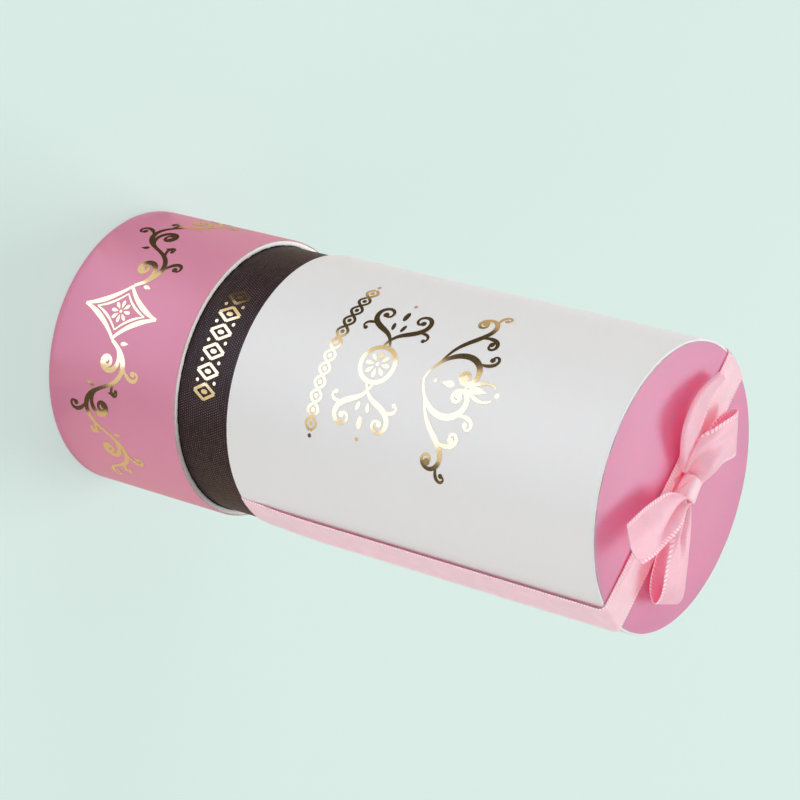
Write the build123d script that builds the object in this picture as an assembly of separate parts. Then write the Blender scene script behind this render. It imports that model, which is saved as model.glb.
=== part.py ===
from build123d import *
from math import cos, radians, sin
import os

os.makedirs("parts", exist_ok=True)

# A round gift box of paper tubes. It stands on its base, the lid lifts straight up.
# Origin: centre of the resting face. +Z is up, the front of the box faces -Y,
# and the ribbon crosses the lid along X.

# Neck, the inner tube that the lid slides over, from its bore outwards
neck_bore_radius = 35.15
neck_lining_thickness = 0.15
neck_board = 1.1
neck_wrap_thickness = 0.2

# Base, the short outer tube glued round the foot of the neck
base_glue_gap = 0.3
base_board = 1.35
base_wrap_thickness = 0.15
base_height = 44.6
base_disc_board = 1.5
floor_paper_thickness = 0.15
bottom_paper_thickness = 0.2
bottom_paper_inset = 1.0

# Lid, from the neck outwards and from its open rim upwards
lid_clearance = 0.2
lid_lining_thickness = 0.1
lid_board = 0.45
lid_wrap_thickness = 0.15
lid_height = 111.6
lid_disc_board = 1.2
ceiling_paper_thickness = 0.15
top_paper_thickness = 0.2
top_paper_inset = 0.5

# Band of the neck that stays in sight between the closed lid and the base
reveal_height = 17.1

# Board edges and the strip of wrapping that is turned over onto each disc
board_edge_round = 0.25
turn_over = 10.0

# Ribbon
ribbon_width = 12.0
ribbon_thickness = 0.25
ribbon_turn_in = 8.0

# Bow: how far it reaches along the strap and across it, and how high it stands
bow_reach = 28.0
bow_spread = 17.0
bow_rise = 6.5
knot_length = 7.0
knot_width = 8.4
knot_height = 5.2
knot_pinch_share = 0.86
knot_stand_share = 0.18
glue_foot_radius = 3.6
glue_head_radius = 2.6

# Worked out radii
neck_board_inner = neck_bore_radius + neck_lining_thickness
neck_board_outer = neck_board_inner + neck_board
neck_outer = neck_board_outer + neck_wrap_thickness
base_inner = neck_outer + base_glue_gap
base_board_outer = base_inner + base_board
base_outer = base_board_outer + base_wrap_thickness
lid_inner = neck_outer + lid_clearance
lid_board_inner = lid_inner + lid_lining_thickness
lid_board_outer = lid_board_inner + lid_board
lid_outer = lid_board_outer + lid_wrap_thickness

# Worked out heights of the base, from the resting face up
base_board_low = bottom_paper_thickness + base_wrap_thickness
base_disc_high = base_board_low + base_disc_board
floor_high = base_disc_high + floor_paper_thickness

# Worked out heights of the closed lid, from its open rim up
lid_rim = base_height + reveal_height
lid_top = lid_rim + lid_height
lid_wrap_top = lid_top - top_paper_thickness
lid_board_top = lid_wrap_top - lid_wrap_thickness
lid_disc_low = lid_board_top - lid_disc_board
neck_top = lid_disc_low - ceiling_paper_thickness

# The bow sits on the strap, held by a blob of clear glue under the knot
strap_top = lid_top + ribbon_thickness
knot_low = strap_top + knot_stand_share * bow_rise
knot_middle = knot_low + knot_height / 2

# Stations of the bow's bands. Each row gives the middle of the ribbon as shares of
# the bow's reach, spread and rise, the direction of its width as an angle from +X
# and a lean, in degrees, and how much of the ribbon's width is open there.
# A smooth curve runs through the stations, in short straight steps.
steps_between_stations = 4
right_loop_shares = [
    (0.10, 0.02, 0.40, 95, 0, 0.38),
    (0.28, 0.26, 0.20, 110, 0, 0.72),
    (0.52, 0.57, 0.15, 115, 0, 1.00),
    (0.74, 0.76, 0.17, 116, 0, 1.00),
    (0.86, 0.89, 0.45, 118, 0, 1.00),
    (0.79, 0.79, 0.74, 115, 0, 1.00),
    (0.60, 0.50, 0.82, 112, 0, 0.95),
    (0.34, 0.22, 0.80, 114, 0, 0.66),
    (0.10, 0.02, 0.66, 95, 0, 0.40),
]
left_loop_shares = [
    (-0.10, 0.02, 0.40, 85, 0, 0.38),
    (-0.29, 0.10, 0.28, 72, 0, 0.72),
    (-0.50, 0.22, 0.26, 60, 0, 1.00),
    (-0.72, 0.36, 0.34, 52, 0, 1.00),
    (-0.80, 0.43, 0.60, 50, 0, 1.00),
    (-0.72, 0.29, 0.88, 50, 0, 0.96),
    (-0.50, -0.04, 0.98, 62, 2, 0.88),
    (-0.29, -0.20, 0.92, 74, 5, 0.70),
    (-0.10, -0.04, 0.84, 88, 0, 0.42),
]
left_tail_shares = [
    (-0.10, -0.06, 0.62, 92, 0, 0.40),
    (-0.20, -0.40, 0.62, 112, -6, 0.56),
    (-0.40, -0.84, 0.80, 122, -8, 0.90),
    (-0.66, -1.00, 0.88, 121, -12, 1.00),
    (-0.94, -0.86, 0.80, 112, -20, 1.00),
]
right_tail_shares = [
    (0.10, -0.04, 0.86, 88, 0, 0.42),
    (0.28, -0.37, 0.92, 70, 12, 0.84),
    (0.48, -0.55, 0.80, 64, 18, 0.94),
    (0.63, -0.65, 0.66, 57, 19, 0.98),
    (0.77, -0.72, 0.52, 50, 15, 1.00),
]


def disc(radius, low, high):
    """A plain round disc between two heights."""
    blank = Cylinder(radius, high - low, align=(Align.CENTER, Align.CENTER, Align.MIN))
    return Pos(0, 0, low) * blank


def ring(outer, inner, low, high):
    """A straight tube wall between two heights."""
    return disc(outer, low, high) - disc(inner, low, high)


def rounded_disc(radius, low, high, rounding, at_top):
    """A disc with one of its two edges rounded."""
    blank = disc(radius, low, high)
    edge = blank.edges().sort_by(Axis.Z)[-1 if at_top else 0]
    return fillet(edge, rounding)


def turned_wrap(board_radius, thickness, low, high, at_top):
    """Paper round a tube, turned over its closed end onto the disc there."""
    rounding = board_edge_round + thickness
    outside = rounded_disc(board_radius + thickness, low, high, rounding, at_top)
    board_low = low if at_top else low + thickness
    board_high = high - thickness if at_top else high
    inside = rounded_disc(board_radius, board_low, board_high, board_edge_round, at_top)
    hole = disc(board_radius + thickness - turn_over, low, high)
    return outside - inside - hole


def end_paper(radius, hole_radius, face, edge, sunk):
    """Paper that covers a disc and fills the step inside the turned-over wrap."""
    cover = disc(radius, min(face, edge), max(face, edge))
    step = disc(hole_radius, min(edge, sunk), max(edge, sunk))
    return cover + step


def ribbon_lane(half_length, low, high):
    """The straight lane, one ribbon wide, that the strap runs in."""
    lane = Box(2 * half_length, ribbon_width, high - low, align=(Align.CENTER, Align.CENTER, Align.MIN))
    return Pos(0, 0, low) * lane


def ribbon_ends():
    """The two ends of the strap, turned in under the lid's lining."""
    leg = ring(lid_inner + ribbon_thickness, lid_inner, lid_rim, lid_rim + ribbon_turn_in)
    return leg & ribbon_lane(lid_outer, lid_rim, lid_rim + ribbon_turn_in)


def base_tube():
    """Outer board tube of the base, its upper rim left as a raw cut edge."""
    tube = rounded_disc(base_board_outer, base_board_low, base_height, board_edge_round, False)
    return tube - disc(base_inner, base_board_low, base_height)


def base_wrap():
    """Printed paper round the base, turned over at the foot."""
    return turned_wrap(base_board_outer, base_wrap_thickness, bottom_paper_thickness, base_height, False)


def base_disc():
    """Board disc that closes the foot of the base."""
    return disc(base_inner, base_board_low, base_disc_high)


def base_bottom_paper():
    """Paper disc on the underside, which the box rests on."""
    radius = base_outer - bottom_paper_inset
    return end_paper(radius, base_outer - turn_over, 0, bottom_paper_thickness, base_board_low)


def neck_tube():
    """Inner board tube. It stands on the base disc and carries the closed lid."""
    return ring(neck_board_outer, neck_board_inner, base_disc_high, neck_top)


def neck_wrap():
    """Dark cloth-textured paper round the neck."""
    return ring(neck_outer, neck_board_outer, base_disc_high, neck_top)


def neck_lining():
    """Paper lining inside the neck."""
    return ring(neck_board_inner, neck_bore_radius, base_disc_high, neck_top)


def floor_paper():
    """Paper disc on the floor of the box."""
    return disc(neck_bore_radius, base_disc_high, floor_high)


def lid_tube():
    """Outer board tube of the lid, with a pocket for each end of the strap."""
    tube = rounded_disc(lid_board_outer, lid_rim, lid_board_top, board_edge_round, True)
    return tube - disc(lid_board_inner, lid_rim, lid_board_top) - ribbon_ends()


def lid_wrap():
    """White paper round the lid, turned over at the top."""
    return turned_wrap(lid_board_outer, lid_wrap_thickness, lid_rim, lid_wrap_top, True)


def lid_disc():
    """Board disc that closes the top of the lid."""
    return disc(lid_board_inner, lid_disc_low, lid_board_top)


def lid_top_paper():
    """Coloured paper disc on top of the lid, just short of its edge."""
    return end_paper(lid_outer - top_paper_inset, lid_outer - turn_over, lid_top, lid_wrap_top, lid_board_top)


def lid_lining():
    """Paper lining of the lid, slit for the two ends of the strap."""
    return ring(lid_board_inner, lid_inner, lid_rim, lid_disc_low) - ribbon_ends()


def ceiling_paper():
    """Paper disc under the lid's disc, which rests on the neck."""
    return disc(lid_inner, neck_top, lid_disc_low)


def ribbon_strap():
    """The strap: up one side of the lid, over the top and down the other side."""
    rounding = board_edge_round + lid_wrap_thickness
    low = lid_rim - ribbon_thickness
    over = rounded_disc(lid_outer + ribbon_thickness, low, strap_top, rounding + ribbon_thickness, True)
    under = rounded_disc(lid_outer, lid_rim, lid_top, rounding, True)
    bore = disc(lid_inner, low, lid_rim)
    lane = ribbon_lane(lid_outer + ribbon_thickness, low, strap_top)
    return ((over - under - bore) & lane) + ribbon_ends()


def knot_section(along, share):
    """Oval section of the knot at one place along the strap."""
    plane = Plane(origin=(along, 0, knot_middle), x_dir=(0, 1, 0), z_dir=(1, 0, 0))
    return plane * Ellipse(share * knot_width / 2, share * knot_height / 2)


def bow_knot():
    """The band that is tied round the middle of the bow."""
    half = knot_length / 2
    sections = [
        knot_section(-half, knot_pinch_share),
        knot_section(0, 1),
        knot_section(half, knot_pinch_share),
    ]
    return loft(sections)


def glue_blob():
    """Clear glue between the strap and the knot."""
    blob = Cone(
        glue_foot_radius,
        glue_head_radius,
        knot_middle - strap_top,
        align=(Align.CENTER, Align.CENTER, Align.MIN),
    )
    return Pos(0, 0, strap_top) * blob - bow_knot()


def curve_value(before, start, end, after, share):
    """A value on the smooth curve from start to end, led by the values either side."""
    bend = 2 * before - 5 * start + 4 * end - after
    twist = 3 * start - before - 3 * end + after
    return start + share / 2 * (end - before + share * (bend + share * twist))


def smooth_rows(shares):
    """The stations and the steps of the smooth curve between them."""
    last = len(shares) - 1
    rows = []
    for index in range(last):
        four = [shares[min(max(index + shift, 0), last)] for shift in (-1, 0, 1, 2)]
        for step in range(steps_between_stations):
            share = step / steps_between_stations
            rows.append([curve_value(*values, share) for values in zip(*four)])
    rows.append(list(shares[last]))
    return rows


def station_middle(row):
    """Middle of the ribbon at one station."""
    along, across, height = row[:3]
    return Vector(along * bow_reach, across * bow_spread, strap_top + height * bow_rise)


def station_width(row):
    """Direction of the ribbon's width at one station."""
    turn = radians(row[3])
    lean = radians(row[4])
    return Vector(cos(lean) * cos(turn), cos(lean) * sin(turn), sin(lean))


def band(shares):
    """One stretch of the bow's ribbon, lofted through its stations."""
    rows = smooth_rows(shares)
    last = len(rows) - 1
    sections = []
    for index, row in enumerate(rows):
        before = station_middle(rows[max(index - 1, 0)])
        after = station_middle(rows[min(index + 1, last)])
        width = station_width(row)
        run = after - before
        run = run - width * run.dot(width)
        plane = Plane(origin=station_middle(row), x_dir=width, z_dir=run)
        sections.append(plane * Rectangle(row[5] * ribbon_width, ribbon_thickness))
    return loft(sections, ruled=True)


def bow_band(shares):
    """A band of the bow, cut off where it goes into the knot."""
    cut = band(shares) - bow_knot()
    return cut.solids().sort_by(SortBy.VOLUME)[-1]


nodes = {
    "base_tube": base_tube(),
    "base_wrap": base_wrap(),
    "base_disc": base_disc(),
    "base_bottom_paper": base_bottom_paper(),
    "neck_tube": neck_tube(),
    "neck_wrap": neck_wrap(),
    "neck_lining": neck_lining(),
    "floor_paper": floor_paper(),
    "lid_tube": lid_tube(),
    "lid_wrap": lid_wrap(),
    "lid_disc": lid_disc(),
    "lid_top_paper": lid_top_paper(),
    "lid_lining": lid_lining(),
    "ceiling_paper": ceiling_paper(),
    "ribbon_strap": ribbon_strap(),
    "bow_knot": bow_knot(),
    "glue_blob": glue_blob(),
    "bow_loop_right": bow_band(right_loop_shares),
    "bow_loop_left": bow_band(left_loop_shares),
    "bow_tail_right": bow_band(right_tail_shares),
    "bow_tail_left": bow_band(left_tail_shares),
}

for name, shape in nodes.items():
    export_step(shape, f"parts/{name}.step")
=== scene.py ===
"""The looks of a round gift box of paper tubes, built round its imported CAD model.

Sizes are in millimetres while a piece is drawn, and every finished mesh is in metres.
Angles round the tubes are in degrees from the front, -Y, towards +X.
"""
import logging
import math
from dataclasses import dataclass, field, replace
from enum import Enum
from typing import Callable, Optional, Sequence, Union

import bmesh
import bpy
from mathutils import Matrix, Vector, noise


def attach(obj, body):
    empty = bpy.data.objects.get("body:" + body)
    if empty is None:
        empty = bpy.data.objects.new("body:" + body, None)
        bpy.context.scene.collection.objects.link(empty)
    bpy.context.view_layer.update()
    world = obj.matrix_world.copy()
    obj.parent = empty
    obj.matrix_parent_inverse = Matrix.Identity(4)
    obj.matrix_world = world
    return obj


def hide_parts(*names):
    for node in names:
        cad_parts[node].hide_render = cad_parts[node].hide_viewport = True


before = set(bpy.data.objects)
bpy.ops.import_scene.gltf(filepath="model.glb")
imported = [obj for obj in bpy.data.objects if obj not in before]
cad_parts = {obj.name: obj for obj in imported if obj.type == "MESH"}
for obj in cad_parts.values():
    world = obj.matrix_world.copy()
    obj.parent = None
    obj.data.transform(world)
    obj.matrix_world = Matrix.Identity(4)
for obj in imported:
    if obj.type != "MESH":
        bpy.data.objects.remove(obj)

LOG = logging.getLogger("gift_box")
MM = 0.001
Colour = tuple[float, float, float]
Number = Union[float, int, "Wire"]
Numbers = tuple[float, ...]
Flat = tuple[float, float]
Bud = tuple[float, float, float]
Triple = tuple[float, float, float]
Material = bpy.types.Material
Piece = bpy.types.Object
Socket = bpy.types.NodeSocket
WHITE = (1.0, 1.0, 1.0)
BLACK = (0.0, 0.0, 0.0)
SEGMENTS = 360
FINE_SEGMENTS = 720


def linear(red: int, green: int, blue: int) -> Colour:
    """A colour of three screen values from 0 to 255 as the linear one a shader takes."""
    shares = (red / 255, green / 255, blue / 255)
    return tuple(v / 12.92 if v <= 0.04045 else ((v + 0.055) / 1.055) ** 2.4 for v in shares)


def smooth_share(value: float, low: float, high: float) -> float:
    """How far value is from low to high, eased at both ends, from 0 to 1."""
    share = min(max((value - low) / (high - low), 0.0), 1.0)
    return share * share * (3 - 2 * share)


def curve_value(four: Sequence[float], share: float) -> float:
    """The smooth curve between the middle two of four values.

    Args:
        four: The values before, at the start, at the end and after.
        share: How far from the start to the end, from 0 to 1.

    Returns:
        The value there.
    """
    before, start, end, after = four
    bend = 2 * before - 5 * start + 4 * end - after
    twist = 3 * start - before - 3 * end + after
    return start + share / 2 * (end - before + share * (bend + share * twist))


def curve_row(rows: Sequence[Sequence[float]], place: float) -> list[float]:
    """The row at a place along a smooth curve through rows.

    Args:
        rows: The rows of numbers that the curve runs through.
        place: Where on the curve, from 0 to the number of the last row.

    Returns:
        The numbers of the row at that place.
    """
    last = len(rows) - 1
    index = min(int(place), last - 1)
    four = [rows[min(max(index + shift, 0), last)] for shift in (-1, 0, 1, 2)]
    return [curve_value(values, place - index) for values in zip(*four)]


@dataclass(frozen=True)
class Grain:
    """Soft noise: its spots to the unit of the point, its octaves and how rough it is."""

    spots: float
    octaves: float = 2.0
    rough: float = 0.5


class Wire:
    """A number socket of a material, on which shader maths is written as arithmetic."""

    def __init__(self, bench: "Bench", socket: Socket) -> None:
        """Takes the bench whose nodes it adds to and the socket that it stands for."""
        self.bench = bench
        self.socket = socket

    def _maths(self, operation: str, *values: Number, clamp: bool = False) -> "Wire":
        """Adds a Math node on the values and returns its output."""
        settings = {"operation": operation, "use_clamp": clamp}
        return self.bench.wire("ShaderNodeMath", settings, dict(enumerate(values)))

    def __add__(self, other: Number) -> "Wire":
        """Sum."""
        return self._maths("ADD", self, other)

    __radd__ = __add__

    def __mul__(self, other: Number) -> "Wire":
        """Product."""
        return self._maths("MULTIPLY", self, other)

    __rmul__ = __mul__

    def __sub__(self, other: Number) -> "Wire":
        """Difference."""
        return self._maths("SUBTRACT", self, other)

    def __rsub__(self, other: Number) -> "Wire":
        """Difference from a plain number."""
        return self._maths("SUBTRACT", other, self)

    def __truediv__(self, other: Number) -> "Wire":
        """Quotient."""
        return self._maths("DIVIDE", self, other)

    def __abs__(self) -> "Wire":
        """Size without the sign."""
        return self._maths("ABSOLUTE", self)

    def __gt__(self, other: Number) -> "Wire":
        """1 where it is above the other, and 0 elsewhere."""
        return self._maths("GREATER_THAN", self, other)

    def __lt__(self, other: Number) -> "Wire":
        """1 where it is below the other, and 0 elsewhere."""
        return self._maths("LESS_THAN", self, other)

    def sine(self) -> "Wire":
        """Sine of an angle in radians."""
        return self._maths("SINE", self)

    def fraction(self) -> "Wire":
        """What is left after the whole number."""
        return self._maths("FRACT", self)

    def floor(self) -> "Wire":
        """The whole number below."""
        return self._maths("FLOOR", self)

    def root(self) -> "Wire":
        """Square root."""
        return self._maths("SQRT", self)

    def wave(self) -> "Wire":
        """A wave from 0 to 1 with one crest to each whole number."""
        return (self * math.tau).sine() * 0.5 + 0.5

    def angle_to(self, other: Number) -> "Wire":
        """Angle of the point (other, self), in radians."""
        return self._maths("ARCTAN2", self, other)

    def clamp(self) -> "Wire":
        """The value kept from 0 to 1."""
        return self._maths("ADD", self, 0.0, clamp=True)

    def eased(self, low: float, high: float) -> "Wire":
        """A smooth step.

        Args:
            low: Where it leaves 0.
            high: Where it reaches 1.

        Returns:
            0 below low, 1 above high and a smooth step between them.
        """
        settings = {"interpolation_type": "SMOOTHSTEP"}
        inputs = {"Value": self, "From Min": low, "From Max": high}
        return self.bench.wire("ShaderNodeMapRange", settings, inputs)


class Bench:
    """The node tree of one material, and the one way that nodes get into it."""

    def __init__(self, name: str) -> None:
        """Starts a material with an empty tree.

        Args:
            name: The material's name.
        """
        self.material = bpy.data.materials.new(name)
        self.material.use_nodes = True
        self.tree = self.material.node_tree
        self.tree.nodes.clear()

    def node(
        self, kind: str, settings: Optional[dict] = None, inputs: Optional[dict] = None
    ) -> bpy.types.Node:
        """Adds a node.

        Args:
            kind: The node's type.
            settings: Its settings, set first.
            inputs: Values or links of its sockets, by name or number.

        Returns:
            The node.
        """
        made = self.tree.nodes.new(kind)
        for key, value in (settings or {}).items():
            setattr(made, key, value)
        for key, value in (inputs or {}).items():
            socket = made.inputs[key]
            if isinstance(value, Wire):
                self.tree.links.new(value.socket, socket)
            elif isinstance(value, Socket):
                self.tree.links.new(value, socket)
            elif socket.type == "RGBA":
                socket.default_value = (*value[:3], 1.0)
            else:
                socket.default_value = value
        return made

    def wire(
        self, kind: str, settings: Optional[dict] = None, inputs: Optional[dict] = None
    ) -> Wire:
        """Adds a node as node() does and returns its first output for maths."""
        return Wire(self, self.node(kind, settings, inputs).outputs[0])

    def place(self) -> Socket:
        """The point on the object, in metres."""
        return self.node("ShaderNodeTexCoord").outputs["Object"]

    def attribute(self, name: str) -> Socket:
        """A vector that the mesh carries under a name."""
        return self.node("ShaderNodeAttribute", {"attribute_name": name}).outputs["Vector"]

    def parts(self, vector: Socket) -> tuple[Wire, Wire, Wire]:
        """The three numbers of a vector."""
        split = self.node("ShaderNodeSeparateXYZ", None, {0: vector})
        return tuple(Wire(self, split.outputs[index]) for index in range(3))

    def joined(self, x: Number, y: Number, z: Number) -> Socket:
        """A vector of three numbers."""
        return self.node("ShaderNodeCombineXYZ", None, {0: x, 1: y, 2: z}).outputs[0]

    def noise(self, vector: Socket, grain: Grain) -> Wire:
        """Soft noise from 0 to 1 at a point."""
        inputs = {"Scale": grain.spots, "Detail": grain.octaves, "Roughness": grain.rough}
        return self.wire("ShaderNodeTexNoise", None, {"Vector": vector, **inputs})

    def specks(self, vector: Socket, spacing: float, size: float, share: float) -> Wire:
        """A few small round specks.

        Args:
            vector: The point, in metres.
            spacing: Mean distance between two places for a speck, in millimetres.
            size: Radius of a speck, in millimetres.
            share: How many of the places hold one, from 0 to 1.

        Returns:
            1 on a speck and 0 elsewhere.
        """
        inputs = {"Vector": vector, "Scale": 1 / (spacing * MM)}
        cells = self.node("ShaderNodeTexVoronoi", None, inputs)
        near = Wire(self, cells.outputs["Distance"])
        pick = self.parts(cells.outputs["Color"])[0]
        return (near < size / spacing) * (pick < share)

    def blend(self, mask: Number, first: object, second: object) -> Socket:
        """A colour between two, first where mask is 0 and second where it is 1."""
        made = self.node("ShaderNodeMix", {"data_type": "RGBA"}, {0: mask, 6: first, 7: second})
        return made.outputs[2]

    def bump(self, height: Wire, depth: float, under: Optional[Socket] = None) -> Socket:
        """A normal bent by a height from 0 to 1.

        Args:
            height: The height.
            depth: What a height of 1 stands for, in millimetres.
            under: A normal that it adds to.

        Returns:
            The bent normal.
        """
        inputs = {"Strength": 1.0, "Distance": depth * MM, "Height": height}
        if under is not None:
            inputs["Normal"] = under
        return self.node("ShaderNodeBump", None, inputs).outputs[0]

    def paint(self, **inputs: object) -> Material:
        """Ends the tree in a Principled shader.

        Args:
            **inputs: What goes into its sockets, by name with underscores for spaces.

        Returns:
            The material.
        """
        named = {key.replace("_", " "): value for key, value in inputs.items()}
        shader = self.node("ShaderNodeBsdfPrincipled", {"subsurface_method": "BURLEY"}, named)
        self.node("ShaderNodeOutputMaterial", None, {"Surface": shader.outputs[0]})
        return self.material


def scaled(colour: Colour, factor: float) -> Colour:
    """A colour times a factor, kept from rising above 1."""
    return tuple(min(v * factor, 1.0) for v in colour)


@dataclass(frozen=True)
class Finish:
    """What a piece is made of."""

    name: str
    colour: Colour

    def make(self) -> Material:
        """The material."""
        bench = Bench(self.name)
        return bench.paint(**self.sockets(bench))

    def sockets(self, bench: Bench) -> dict[str, object]:
        """What goes into the shader's sockets."""
        raise NotImplementedError


@dataclass(frozen=True)
class PaperFinish(Finish):
    """Printed wrapping paper with a matt laminate, over board.

    Past cut_radius and above cut_height, in millimetres, the raw cut edge of the paper shows.
    """

    roughness: float = 0.42
    gloss: float = 0.4
    grain: float = 0.006
    mottle: float = 0.03
    speck_share: float = 0.02
    speck: Colour = (0.25, 0.22, 0.2)
    glow_depth: float = 0.0
    cut_radius: float = 100.0
    cut_height: float = 1000.0
    cut_pale: Colour = linear(236, 226, 216)
    cut_dark: Colour = linear(186, 172, 152)
    speck_gap: float = 7.0
    speck_size: float = 0.13
    board_wave: float = 0.04
    fibres: Grain = Grain(5200, 3, 0.65)
    clouds: Grain = Grain(55)
    waves: Grain = Grain(160)
    patches: Grain = Grain(330, 2, 0.6)

    def sockets(self, bench: Bench) -> dict[str, object]:
        """Draws the print with its specks, and the raw cut edge.

        Args:
            bench: The bench to draw it on.

        Returns:
            What goes into the shader's sockets.
        """
        place = bench.place()
        fibre = bench.noise(place, self.fibres)
        cloud = bench.noise(place, self.clouds)
        dust = bench.specks(place, self.speck_gap, self.speck_size, self.speck_share)
        dark, pale = scaled(self.colour, 1 - self.mottle), scaled(self.colour, 1 + self.mottle)
        tone = bench.blend(cloud * 0.6 + fibre * 0.4, dark, pale)
        tone = bench.blend(dust * 0.5, tone, self.speck)
        x, y, z = bench.parts(place)
        cut = ((x * x + y * y) > (self.cut_radius * MM) ** 2) + (z > self.cut_height * MM)
        patch = bench.noise(place, self.patches).eased(0.38, 0.6)
        raw = bench.blend(patch, self.cut_pale, self.cut_dark)
        tone = bench.blend(cut.clamp() * (0.3 + patch * 0.7), tone, raw)
        board = bench.bump(bench.noise(place, self.waves), self.board_wave)
        return dict(
            Base_Color=tone,
            Roughness=self.roughness + (cloud - 0.5) * 0.08,
            Specular_IOR_Level=self.gloss,
            Subsurface_Weight=1.0 if self.glow_depth else 0.0,
            Subsurface_Radius=(1.0, 0.04, 0.08),
            Subsurface_Scale=self.glow_depth * MM,
            Normal=bench.bump(fibre, self.grain, board),
        )


@dataclass(frozen=True)
class ClothPaperFinish(Finish):
    """Dark paper embossed like woven cloth, with a paler colour here and there on the emboss's
    raised crests: partly the threads' own colour and partly painted highlight.
    """

    # The paler colour on the crests: partly the threads' own colour and partly painted highlight.
    thread_and_highlight: Colour
    threads_round: int = 330
    streaks_round: int = 90
    row_pitch: float = 0.68
    emboss: float = 0.08
    streaks: Grain = Grain(1, 2, 0.6)
    clouds: Grain = Grain(90)

    def sockets(self, bench: Bench) -> dict[str, object]:
        """Draws the embossed threads in rows round the tube.

        Args:
            bench: The bench to draw it on.

        Returns:
            What goes into the shader's sockets.
        """
        place = bench.place()
        x, y, z = bench.parts(place)
        round_share = y.angle_to(x) / math.tau
        row = z / (self.row_pitch * MM)
        column = round_share * self.threads_round + (row.floor() * 0.5).fraction()
        weave = column.wave() * row.wave()
        streak = bench.noise(bench.joined(round_share * self.streaks_round, row, 0), self.streaks)
        cloud = bench.noise(place, self.clouds)
        # The raised crests of the emboss in streaks, painted paler: partly thread colour and partly
        # painted highlight.
        lit = weave.eased(0.35, 0.75) * (streak * 0.7 + cloud * 0.3).eased(0.25, 0.7)
        return dict(
            Base_Color=bench.blend(lit * 0.7, self.colour, self.thread_and_highlight),
            Roughness=0.5 - lit * 0.12,
            Specular_IOR_Level=0.26,
            Normal=bench.bump(weave, self.emboss),
        )


@dataclass(frozen=True)
class BoardFinish(Finish):
    """Raw grey board, with its layers and loose fibres on the cut edges."""

    shade: Colour
    ply: float = 0.32
    relief: float = 0.02
    bends: Grain = Grain(900, 2, 0.6)
    fibres: Grain = Grain(3600, 4, 0.7)
    blots: Grain = Grain(420, 3, 0.6)

    def sockets(self, bench: Bench) -> dict[str, object]:
        """Draws the layers of the board and its loose fibres.

        Args:
            bench: The bench to draw it on.

        Returns:
            What goes into the shader's sockets.
        """
        place = bench.place()
        x, y, _ = bench.parts(place)
        ply = (x * x + y * y).root() / (self.ply * MM)
        layers = ((ply + bench.noise(place, self.bends) * 1.5) * math.tau).sine()
        fibre = bench.noise(place, self.fibres)
        blot = bench.noise(place, self.blots)
        tone = (fibre * 0.55 + blot * 0.35 + layers * 0.06).eased(0.25, 0.75)
        return dict(
            Base_Color=bench.blend(tone, self.shade, self.colour),
            Roughness=0.9,
            Specular_IOR_Level=0.2,
            Normal=bench.bump(fibre + layers * 0.15, self.relief),
        )


@dataclass(frozen=True)
class LiningFinish(Finish):
    """Thin uncoated paper that lines the tubes."""

    relief: float = 0.03
    fibres: Grain = Grain(3000, 4, 0.7)
    clouds: Grain = Grain(70)

    def sockets(self, bench: Bench) -> dict[str, object]:
        """Draws the soft fibres of the paper.

        Args:
            bench: The bench to draw it on.

        Returns:
            What goes into the shader's sockets.
        """
        place = bench.place()
        fibre = bench.noise(place, self.fibres)
        cloud = bench.noise(place, self.clouds)
        tone = bench.blend(fibre * 0.5 + cloud * 0.5, scaled(self.colour, 0.93), self.colour)
        return dict(
            Base_Color=tone,
            Roughness=0.8,
            Specular_IOR_Level=0.25,
            Normal=bench.bump(fibre, self.relief),
        )


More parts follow.
